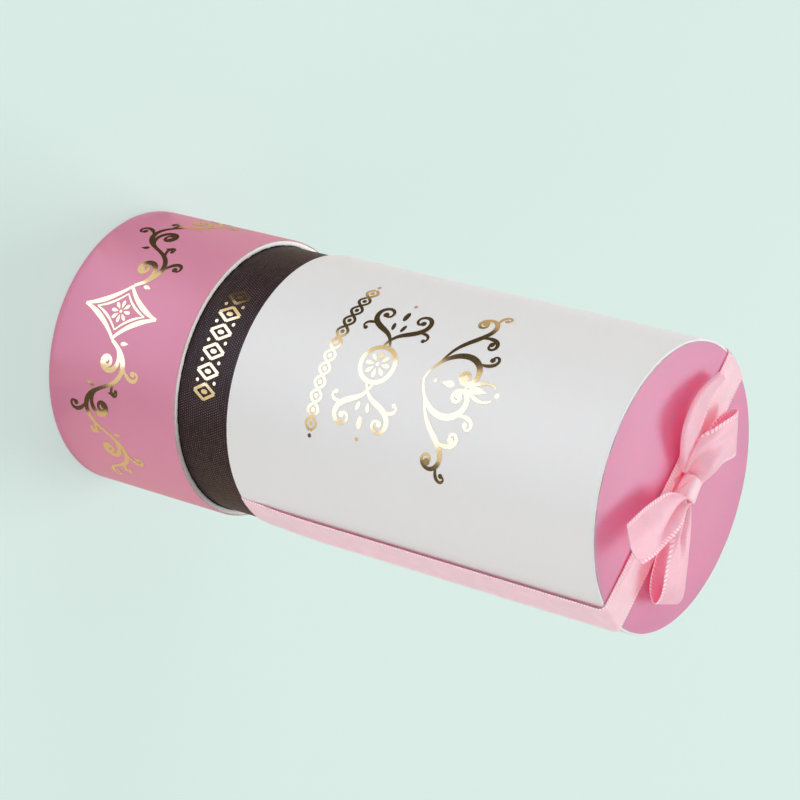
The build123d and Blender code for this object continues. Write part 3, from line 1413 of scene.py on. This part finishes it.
LEFT_LOOP_ROLLS = ((0, 0),) * 6 + ((0, 0.4), (2.2, 1.2), (2.6, 1.6))
LEFT_TAIL_ROLLS = ((1.5, 0.5), (2.3, 0), (2.4, 0), (2.4, 0), (2.2, 0))
RIGHT_LOOP_DENTS = (
    (0.91, 0.05, 0.08, 0.15, 0.5, 1.3),
    (0.88, -0.40, 0.08, 0.16, 1.2, 1.1),
    (0.86, 0.42, 0.07, 0.14, -0.6, 0.9),
)
RIGHT_TAIL_DENTS = (
    (0.24, 0.32, 0.19, 0.24, 1.0, 2.9),
    (0.46, 0.66, 0.18, 0.22, 0.9, 1.2),
    (0.62, -0.15, 0.5, 0.5, 0.0, -0.35),
)
BOW_BANDS = (
    BowBand(
        "loop_right_ribbon",
        "bow_loop_right",
        54.0,
        stations=RIGHT_LOOP,
        rolls=RIGHT_LOOP_ROLLS,
        dents=RIGHT_LOOP_DENTS,
        valley=-0.1,
    ),
    BowBand(
        "loop_left_ribbon",
        "bow_loop_left",
        47.0,
        stations=LEFT_LOOP,
        rolls=LEFT_LOOP_ROLLS,
        valley=-0.15,
        turned=True,
    ),
    BowBand(
        "tail_left_ribbon", "bow_tail_left", 31.0, stations=LEFT_TAIL, rolls=LEFT_TAIL_ROLLS
    ),
    BowBand(
        "tail_right_ribbon",
        "bow_tail_right",
        25.5,
        stations=RIGHT_TAIL,
        dents=RIGHT_TAIL_DENTS,
        corner=3.2,
        turned=True,
    ),
)


@dataclass
class Knot(RibbonPiece):
    """The short length of ribbon that is drawn tight round the middle of the bow.

    A crease holds its depth in millimetres, the degrees round the knot where it lies and that it
    runs over, its share of the half width, its slant in degrees to a half width, and its width.
    """

    name: str = "knot_ribbon"
    node: str = "bow_knot"
    length: float = 18.5
    held: Fold = Fold.FOLDED
    rests_on: tuple[str, ...] = ("glue_drop",)
    turned: bool = True
    centre: Triple = (-0.4, -1.1, 177.15)
    half_depth: float = 2.95
    half_height: float = 2.15
    widening: float = 0.1
    slant: float = 0.16
    roll_radius: float = 0.42
    open_half: float = 2.75
    turns: float = 1.04
    start: float = 100.0
    lap: float = 0.28
    creases: tuple[Numbers, ...] = (
        (1.0, 84, 26, -0.3, 50, 0.17),
        (0.7, 108, 22, 0.45, 90, 0.18),
    )
    half_columns: Numbers = (
        0.6, 1.2, 1.8, 2.4, 2.75, 3.0, 3.25, 3.5, 3.75, 4.0, 4.3, 4.8, 5.4, 6.0
    )

    def side(self, finishes: Finishes) -> Material:
        """The finish of its shiny side, a paler copy of the satin whose lighter colours are painted
        sheen.
        """
        return finishes.satin_painted_sheen

    def lay(self, across: float, along: float) -> Vector:
        """Lays a point of the flat ribbon round the knot.

        Args:
            across: How far the point is from the middle line.
            along: How far it is from the start.

        Returns:
            Its place, in millimetres.
        """
        turn = math.tau * self.turns * along / self.length - math.radians(self.start)
        tucked = self.half_width - self.open_half
        x, deep = self.rolled(across, tucked, tucked)
        share = x / self.open_half
        front = math.degrees(turn)
        push = -deep
        for depth, at, long, side, slant, wide in self.creases:
            run = (front - at) / long
            off = (share - side - (front - at) / slant) / wide
            push -= depth * math.exp(-run * run - off * off)
        edge = 1 - smooth_share(front, 52 - 10 * share, 60 - 10 * share)
        push += self.lap * edge * smooth_share(front, -70, -20)
        swell = 1 + self.widening * share + 0.02 * along / self.length
        y = -self.squared(math.sin(turn)) * (self.half_depth * swell + push)
        z = self.squared(math.cos(turn)) * (self.half_height * swell + push)
        return Vector((x - self.slant * y, y, z)) + Vector(self.centre)

    @staticmethod
    def squared(value: float) -> float:
        """A sine or cosine made fuller, which turns a circle into a rounded square."""
        return math.copysign(abs(value) ** 0.85, value)


@dataclass
class Bow:
    """The ribbon over the lid, the bow on it, and the glue that holds the bow."""

    glue_centre: Vector = field(default_factory=lambda: Vector((0.2, -1.4, 174.85)))
    glue_size: Vector = field(default_factory=lambda: Vector((3.5, 3.5, 1.45)))

    def build(self, finishes: Finishes) -> list[Piece]:
        """Makes the strap, the four bands, the knot and the glue.

        Args:
            finishes: The materials.

        Returns:
            The pieces that light passes.
        """
        made = [piece.build(finishes) for piece in (Strap(), *BOW_BANDS, Knot())]
        return made + [self.build_glue(finishes)]

    def build_glue(self, finishes: Finishes) -> Piece:
        """Makes the blob of glue, pressed out of round between the strap and the knot.

        Args:
            finishes: The materials.

        Returns:
            Its piece.
        """
        shape = bmesh.new()
        bmesh.ops.create_icosphere(shape, subdivisions=5, radius=1.0)
        for point in shape.verts:
            lump = 1 + 0.16 * noise.noise(point.co * 1.7 + Vector((3.0, 1.0, 7.0)))
            point.co = self.glue_centre + point.co * lump * self.glue_size
        piece = finished("glue_drop", shape, finishes.glue, 180)
        return mounted(piece, "lid", "glue_blob")


@dataclass
class Ornament:
    """A drawing in gold foil, made flat in millimetres and then laid on a tube."""

    name: str
    body: str
    radius: float
    angle: float
    height: float
    skin: float = 0.02
    first_layer: float = 0.012
    layer_step: float = 0.003
    layers: int = 6
    fineness: float = 0.3
    least_width: float = 0.06
    layer: int = 0
    shape: bmesh.types.BMesh = field(default_factory=bmesh.new)

    @staticmethod
    def mark(point: Sequence[float], side: int) -> Flat:
        """A point, mirrored left to right where side is -1."""
        return point[0] * side, point[1]

    def next_layer(self) -> float:
        """A height for one more stroke, so that two that cross don't lie in one plane."""
        self.layer = (self.layer + 1) % self.layers
        return self.first_layer + self.layer_step * self.layer

    def stroke(self, line: Sequence[Flat], wide: Callable[[float], float]) -> None:
        """Draws a line of changing width.

        Args:
            line: Its points, closely spaced.
            wide: Its width at a share from 0 to 1 of its length.
        """
        height = self.next_layer()
        last = len(line) - 1
        made = bmesh.ops.create_grid(self.shape, x_segments=1, y_segments=last, size=0.5)["verts"]
        for vert in made:
            index = round((vert.co.y + 0.5) * last)
            before, after = line[max(index - 1, 0)], line[min(index + 1, last)]
            run = Vector((after[0] - before[0], after[1] - before[1], 0)).normalized()
            off = Vector((run.y, -run.x, 0)) * max(wide(index / last), self.least_width) / 2
            off *= 1 if vert.co.x > 0 else -1
            vert.co = Vector((line[index][0], line[index][1], height)) + off

    def dot(
        self,
        centre: Flat,
        radius: float,
        stretch: float = 1.0,
        turn: float = 0.0,
        point: float = 0.0,
    ) -> None:
        """Draws a round dot, or a drop or petal.

        Args:
            centre: Its middle.
            radius: Its half width.
            stretch: How many times longer than wide it is.
            turn: The direction of its length, in degrees.
            point: How far one end is drawn to a point, from 0 to 1.
        """
        height = self.next_layer()
        made = bmesh.ops.create_circle(self.shape, cap_ends=True, radius=1.0, segments=24)["verts"]
        way = math.radians(turn)
        for vert in made:
            along, side = vert.co.x, vert.co.y
            side *= 1 - point * smooth_share(along, -0.4, 1.2)
            along *= stretch
            x = (along * math.cos(way) - side * math.sin(way)) * radius
            y = (along * math.sin(way) + side * math.cos(way)) * radius
            vert.co = (centre[0] + x, centre[1] + y, height)

    def vine(
        self,
        start: Bud,
        runs: Sequence[Triple],
        widths: Triple,
        ball: float = 0.0,
        side: int = 1,
    ) -> list[Bud]:
        """Draws a stroke whose bend grows or eases evenly, as a scroll's does.

        Args:
            start: Where it starts, and its direction there in degrees.
            runs: The length of each stretch, and the bend in degrees a millimetre at its two ends.
            widths: Its width at the start, at its widest and at the end.
            ball: Radius of the round drop at its end, or 0 for none.
            side: -1 to mirror it left to right.

        Returns:
            Its points with their directions, not mirrored, for others to grow from.
        """
        x, y, way = start
        line = [start]
        for length, first, last in runs:
            steps = max(round(length / self.fineness), 4)
            for index in range(steps):
                bend = (first + (last - first) * (index + 0.5) / steps) * length / steps
                middle = math.radians(way + bend / 2)
                way += bend
                x += math.cos(middle) * length / steps
                y += math.sin(middle) * length / steps
                line.append((x, y, way))
        narrow, most, end = widths

        def swell(share: float) -> float:
            """The stroke's width at a share of its length."""
            grown = (most - narrow) * smooth_share(share, 0.0, 0.4)
            return narrow + grown + (end - most) * smooth_share(share, 0.4, 1.0)

        self.stroke([self.mark(point, side) for point in line], swell)
        if ball:
            self.dot(self.mark((x, y), side), ball)
        return line

    @staticmethod
    def bud(line: Sequence[Bud], share: float, turn: float = 0.0) -> Bud:
        """A point on a drawn stroke to grow another from, turned off its way by some degrees."""
        x, y, way = line[round(share * (len(line) - 1))]
        return x, y, way + turn

    def lay(self, finishes: Finishes) -> None:
        """Bends the drawing round its tube and makes it a piece.

        Args:
            finishes: The materials.
        """
        for vert in self.shape.verts:
            turn = vert.co.x / self.radius + math.radians(self.angle)
            radius = self.radius + vert.co.z
            vert.co = (radius * math.sin(turn), -radius * math.cos(turn), self.height + vert.co.y)
        self.shape.normal_update()
        faces = self.shape.faces
        inward = [f for f in faces if f.normal.xy.dot(f.calc_center_median().xy) < 0]
        bmesh.ops.reverse_faces(self.shape, faces=inward)
        bmesh.ops.solidify(self.shape, geom=faces, thickness=-self.skin)
        mounted(finished(self.name, self.shape, finishes.foil, 30), self.body)


@dataclass
class FoilPrint:
    """The gold ornaments: scrollwork on the base and the lid, and a small chain on the neck."""

    base_radius: float = 38.42
    lid_radius: float = 37.52
    neck_radius: float = 36.62

    def build(self, finishes: Finishes) -> None:
        """Draws each ornament and lays it on its tube.

        Args:
            finishes: The materials.
        """
        self.base_band(finishes)
        self.lid_scrolls(finishes)
        self.lid_medallion(finishes)
        self.lid_beads(finishes)
        self.neck_chain(finishes)

    def base_band(self, finishes: Finishes) -> None:
        """Draws a pointed medallion between two long vines of scrolls.

        Args:
            finishes: The materials.
        """
        art = Ornament("base_foil", "base", self.base_radius, 12.0, 20.5)
        for side in (1, -1):
            stem = self.arch(art, (7.9, 0.2, 58), -1, side)
            stem = self.arch(art, stem[-1], 1, side)
            stem = self.arch(art, stem[-1], -1, side)
            art.vine(stem[-1], [(4, 4, 20), (5.5, 24, 78)], (0.9, 1.15, 0.55), 0.8, side)
            for up in (1, -1):
                outer = [(14.9, 2.4 * up, 2.4 * up)]
                inner = [(9.8, 3.4 * up, 3.4 * up)]
                art.vine((0, 12.3 * up, -76 * up), outer, (0.8, 1.5, 0.9), 0.0, side)
                art.vine((0, 8.2 * up, -74 * up), inner, (0.4, 0.75, 0.45), 0.0, side)
        self.rosette(art, 8, 2.0, 0.55, 2.1)
        art.lay(finishes)

    @staticmethod
    def arch(art: Ornament, start: Bud, turn: int, side: int) -> list[Bud]:
        """Draws one arch of a vine, with the scroll that fills it and two small hooks.

        Args:
            art: The ornament that it belongs to.
            start: Where it starts.
            turn: -1 for an arch above, and 1 for one below.
            side: -1 to mirror it left to right.

        Returns:
            The stem's points.
        """
        rise = 13.4 * turn
        stem = art.vine(start, [(9.2, 0, rise), (9.2, rise, 0)], (1.0, 1.6, 1.0), 0.0, side)
        scroll = [(10, 8 * turn, 21 * turn), (12.5, 21 * turn, 60 * turn)]
        art.vine(art.bud(stem, 0.06), scroll, (0.7, 1.5, 0.8), 0.95, side)
        hook = [(4.6, -2 * turn, -16 * turn), (5.4, -22 * turn, -76 * turn)]
        art.vine(art.bud(stem, 0.45, -20 * turn), hook, (0.5, 1.2, 0.6), 0.8, side)
        for share, out, lean in ((0.2, 2.3, 40), (0.88, 2.4, 120)):
            x, y, way = art.bud(stem, share, -90 * turn)
            leaf = (x + out * math.cos(math.radians(way)), y + out * math.sin(math.radians(way)))
            lies = way + lean * turn
            art.dot(art.mark(leaf, side), 0.62, 2.1, lies if side > 0 else 180 - lies, 0.8)
        hook = [(3.0, -4 * turn, -16 * turn), (4.0, -30 * turn, -94 * turn)]
        art.vine(art.bud(stem, 0.75, -14 * turn), hook, (0.4, 0.95, 0.5), 0.62, side)
        return stem

    @staticmethod
    def rosette(art: Ornament, petals: int, out: float, wide: float, long: float) -> None:
        """Draws petals in a ring about a dot in the middle.

        Args:
            art: The ornament that it belongs to.
            petals: How many petals it has.
            out: How far out their middles lie.
            wide: Half the width of a petal.
            long: How many times longer than wide a petal is.
        """
        for index in range(petals):
            turn = 360 * index / petals + 90
            way = math.radians(turn)
            art.dot((out * math.cos(way), out * math.sin(way)), wide, long, turn + 180, 0.7)
        art.dot((0, 0), wide * 0.8)

    def lid_scrolls(self, finishes: Finishes) -> None:
        """Draws two pairs of scrolls that rise round a bud.

        Args:
            finishes: The materials.
        """
        art = Ornament("lid_scroll_foil", "lid", self.lid_radius, 7.0, 128.0)
        for side in (1, -1):
            runs = [(10, 3, 7), (8.6, 7, 12), (7.4, 12, 28), (7, 28, 68)]
            inner = art.vine((0.0, -10.6, 16), runs, (0.5, 1.7, 0.85), 1.05, side)
            runs = [(7, -2, 5), (8, 5, -7), (9, -12, -26), (6.2, -26, -72)]
            outer = art.vine(art.bud(inner, 0.14, -8), runs, (0.5, 1.5, 0.75), 0.95, side)
            for stem, share, turn, runs, widths, ball in (
                (outer, 0.4, 12, [(5.6, 8, 17), (6, 24, 76)], (0.5, 1.2, 0.6), 0.8),
                (outer, 0.62, 10, [(3.4, 8, 20), (4.2, 30, 92)], (0.4, 1.0, 0.5), 0.66),
                (inner, 0.5, -18, [(4.6, -4, -16), (5, -24, -82)], (0.4, 1.1, 0.55), 0.75),
            ):
                art.vine(art.bud(stem, share, turn), runs, widths, ball, side)
            art.vine((0, 1.6, 62), [(4.6, -4, 8), (4.6, 8, 18)], (0.4, 1.0, 0.5), 0.0, side)
        art.dot((0, 5.4), 1.1, 2.4, 90, 0.8)
        art.dot((0, 11.0), 0.65)
        art.dot((0, -3.4), 0.95, 2.0, 270, 0.8)
        art.dot((0, -7.2), 0.5)
        art.lay(finishes)

    def lid_medallion(self, finishes: Finishes) -> None:
        """Draws a ring of petals with two crossed scrolls on either side.

        Args:
            finishes: The materials.
        """
        art = Ornament("lid_medallion_foil", "lid", self.lid_radius, 6.5, 103.0)
        art.stroke(arc_points((0, 0), 4.9, 0, 360, 60), lambda share: 1.2)
        self.rosette(art, 8, 2.35, 0.62, 2.0)
        for side in (1, -1):
            for up in (1, -1):
                runs = [(5, 6 * up, 10 * up), (6, 6 * up, -13 * up)]
                runs += [(7, -16 * up, -30 * up), (4.4, -30 * up, -68 * up)]
                arm = art.vine((5.3, -0.9 * up, 20 * up), runs, (0.7, 1.55, 0.7), 0.8, side)
                runs = [(2.4, 4 * up, 16 * up), (3.2, 24 * up, 84 * up)]
                art.vine(art.bud(arm, 0.42, 24 * up), runs, (0.4, 0.9, 0.5), 0.6, side)
                art.dot(art.mark((11.4, 1.5 * up), side), 0.55, 2.2, 12 * up * side, 0.0)
            art.dot(art.mark((15.4, 0), side), 0.75, 2.2, 0, 0.0)
            art.dot(art.mark((19.6, 0), side), 0.5)
        art.lay(finishes)

    def lid_beads(self, finishes: Finishes) -> None:
        """Draws two fine crossing waves with a bead in every eye.

        Args:
            finishes: The materials.
        """
        art = Ornament("lid_bead_foil", "lid", self.lid_radius, 5.0, 88.5)
        step, period = 0.25, 7.2
        for up in (1, -1):
            line = [step * index for index in range(-86, 87)]
            wave = [(x, 1.55 * up * math.sin(math.tau * x / period)) for x in line]
            art.stroke(wave, lambda share: 0.8)
        for index in range(-6, 6):
            art.dot(((index + 0.5) * period / 2, 0), 0.62)
        for side in (1, -1):
            art.dot(art.mark((22.9, 0), side), 0.55)
        art.lay(finishes)

    def neck_chain(self, finishes: Finishes) -> None:
        """Draws a chain of lozenges between two rows of dots.

        Args:
            finishes: The materials.
        """
        art = Ornament("neck_foil", "base", self.neck_radius, 13.5, 52.8)
        pitch = 5.4
        for index in range(-2, 4):
            x = (index - 0.5) * pitch
            line = [Vector((x + a, b)) for a, b in ((-2.1, 0), (0, 3.4), (2.1, 0), (0, -3.4))]
            for start, end in zip(line, line[1:] + line[:1]):
                art.stroke([start.lerp(end, k / 4) for k in range(5)], lambda share: 0.85)
            art.dot((x, 0), 0.62, 1.7, 90)
            if index < 3:
                art.dot((x + pitch / 2, 2.8), 0.5)
                art.dot((x + pitch / 2, -2.8), 0.5)
        art.lay(finishes)


CARDS = (
    ("card_white_left", -165, -106, 0.92, (1.0, 0.97, 0.93)),
    ("card_gold_left", -106, -61, 0.6, (1.0, 0.77, 0.5)),
    ("card_dark_left", -61, -24, 1.0, (0.072, 0.054, 0.034)),
    ("card_soft_left", -24, -14, 0.85, (1.0, 0.86, 0.64)),
    ("card_bright", -14, 38, 2.0, (0.82, 0.85, 1.0)),
    ("card_soft_right", 38, 50, 0.85, (1.0, 0.86, 0.64)),
    ("card_dark_right", 50, 66, 1.0, (0.096, 0.072, 0.042)),
    ("card_gold_right", 66, 146, 0.72, (1.0, 0.77, 0.5)),
    ("card_dim_right", 146, 195, 0.5, (1.0, 0.95, 0.92)),
)


FOCAL_LENGTH = 119.84
SENSOR_WIDTH = 36.0
CAMERA_PLACE = (0.22880, -0.53901, 0.47303)
CAMERA_RIGHT = (-0.44481, 0.38592, 0.80821)
CAMERA_UP = (-0.83202, -0.51206, -0.21340)
CAMERA_BACK = (0.33150, -0.76737, 0.54886)


@dataclass(frozen=True)
class Lamp:
    """A square soft lamp: its direction from the box, its side in metres and its watts."""

    name: str
    way: Triple
    size: float
    power: float


MAIN_LAMPS = (
    Lamp("key", (-0.52, 0.85, 1.0), 1.9, 85.0),
    Lamp("fill_left", (-0.77, -0.64, 0.3), 2.2, 36.0),
    Lamp("fill_right", (0.82, -0.57, 0.3), 2.2, 36.0),
)
SATIN_LAMP = Lamp("satin_side", (1.0, -0.1, 0.15), 1.6, 24.0)
RIM_LAMP = Lamp("rim_left", (-0.75, -0.5, 0.45), 1.6, 110.0)


@dataclass
class Studio:
    """The pale floor, the soft lights and the camera.

    The ribbons are what red light passes, and a side lamp lights only them. The rim is what a
    left lamp lights alone. The cards lie on the floor and only the foil's reflections see them.
    """

    ribbons: list[Piece] = field(default_factory=list)
    rim: list[Piece] = field(default_factory=list)
    floor_colour: Colour = linear(218, 237, 231)
    floor_light: float = 0.93
    floor_share: float = 0.4
    sky: float = 0.42
    lamp_distance: float = 4.0
    aim_height: float = 0.1
    through: Colour = (0.58, 0.0, 0.06)
    card_near: float = 39.5
    card_far: float = 900.0
    card_height: float = 0.4

    def build(self) -> None:
        """Sets up everything round the box."""
        self.build_floor()
        self.build_sky()
        for lamp in MAIN_LAMPS:
            self.add_split_lamp(lamp)
        for lamp, lit in ((SATIN_LAMP, self.ribbons), (RIM_LAMP, self.rim)):
            hung = self.add_lamp(lamp)
            hung.light_linking.receiver_collection = self.gathered(lamp.name + "_lit", lit)
        for card in CARDS:
            self.add_card(*card)
        self.add_camera()
        bpy.context.scene.view_settings.view_transform = "Standard"

    def build_floor(self) -> None:
        """A wide floor that is pale mint to the camera and plain white to the box."""
        shape = bmesh.new()
        bmesh.ops.create_grid(shape, x_segments=1, y_segments=1, size=6000)
        bench = Bench("floor")
        seen = Wire(bench, bench.node("ShaderNodeLightPath").outputs["Is Camera Ray"])
        tone = bench.blend(seen, scaled(WHITE, 0.88), scaled(self.floor_colour, self.floor_share))
        glow = bench.blend(seen, BLACK, self.floor_colour)
        material = bench.paint(
            Base_Color=tone,
            Roughness=1.0,
            Specular_IOR_Level=0.0,
            Emission_Color=glow,
            Emission_Strength=1 - self.floor_share * self.floor_light,
        )
        finished("floor", shape, material)

    def build_sky(self) -> None:
        """An even white sky."""
        world = bpy.data.worlds.new("studio")
        bpy.context.scene.world = world
        world.use_nodes = True
        back = world.node_tree.nodes["Background"]
        back.inputs["Color"].default_value = (*WHITE, 1.0)
        back.inputs["Strength"].default_value = self.sky

    @staticmethod
    def gathered(name: str, pieces: Sequence[Piece]) -> bpy.types.Collection:
        """Gathers pieces for a lamp's light linking.

        Args:
            name: The collection's name.
            pieces: The pieces.

        Returns:
            The collection.
        """
        together = bpy.data.collections.new(name)
        for piece in pieces:
            together.objects.link(piece)
        return together

    def add_split_lamp(self, lamp: Lamp) -> None:
        """Hangs a lamp as two, and the ribbons don't stop the red one, as thin satin doesn't.

        Args:
            lamp: The lamp.
        """
        self.add_lamp(lamp, tuple(1 - share for share in self.through))
        through = self.add_lamp(replace(lamp, name=lamp.name + "_through_ribbon"), self.through)
        open_ones = self.gathered(lamp.name + "_open", self.ribbons)
        for row in open_ones.collection_objects:
            row.light_linking.link_state = "EXCLUDE"
        through.light_linking.blocker_collection = open_ones

    def add_lamp(self, lamp: Lamp, colour: Colour = WHITE) -> Piece:
        """Hangs a lamp so that it faces the box.

        Args:
            lamp: The lamp.
            colour: The colour of its light.

        Returns:
            The lamp's object.
        """
        out = Vector(lamp.way)
        light = bpy.data.lights.new(lamp.name, "AREA")
        light.color = colour
        light.shape = "SQUARE"
        light.size = lamp.size
        light.energy = lamp.power
        thing = bpy.data.objects.new(lamp.name, light)
        thing.location = out.normalized() * self.lamp_distance + Vector((0, 0, self.aim_height))
        thing.rotation_mode = "QUATERNION"
        thing.rotation_quaternion = (-out).to_track_quat("-Z", "Y")
        bpy.context.scene.collection.objects.link(thing)
        return thing

    def add_card(self, name: str, start: float, end: float, glow: float, colour: Colour) -> None:
        """Lays one card, a sector of a ring about the box.

        Args:
            name: Its name.
            start: The angle it starts at.
            end: The angle it ends at.
            glow: How brightly it shines.
            colour: Its colour.
        """
        shape = bmesh.new()
        first, sweep = math.radians(start), math.radians(end - start)
        ends = [
            shape.verts.new((radius * math.sin(first), -radius * math.cos(first), self.card_height))
            for radius in (self.card_near, self.card_far)
        ]
        geom = ends + [shape.edges.new(ends)]
        bmesh.ops.spin(shape, geom=geom, cent=(0, 0, 0), axis=(0, 0, 1), angle=sweep, steps=16)
        material = Bench(name).paint(
            Base_Color=BLACK,
            Roughness=1.0,
            Specular_IOR_Level=0.0,
            Emission_Color=colour,
            Emission_Strength=glow,
        )
        card = finished(name, shape, material)
        for ray in ("camera", "diffuse", "shadow", "transmission"):
            setattr(card, "visible_" + ray, False)

    def add_camera(self) -> None:
        """Puts the camera where the photograph was taken from, turned as it is."""
        lens = bpy.data.cameras.new("camera")
        lens.lens = FOCAL_LENGTH
        lens.sensor_width = SENSOR_WIDTH
        lens.clip_start = 0.01
        lens.clip_end = 50.0
        turn = Matrix((CAMERA_RIGHT, CAMERA_UP, CAMERA_BACK)).transposed().to_4x4()
        camera = bpy.data.objects.new("camera", lens)
        camera.matrix_world = Matrix.Translation(CAMERA_PLACE) @ turn
        bpy.context.scene.collection.objects.link(camera)
        bpy.context.scene.camera = camera


def main() -> None:
    """Builds the box from its base up, then the studio."""
    logging.basicConfig(level=logging.INFO, format="%(relativeCreated)d ms %(message)s")
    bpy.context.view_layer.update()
    finishes = Finishes()
    rim = BaseShell().build(finishes)
    Neck().build(finishes)
    LidShell().build(finishes)
    ribbons = Bow().build(finishes)
    FoilPrint().build(finishes)
    Studio(ribbons, [rim]).build()
    bpy.context.view_layer.update()


if __name__ == "__main__":
    main()
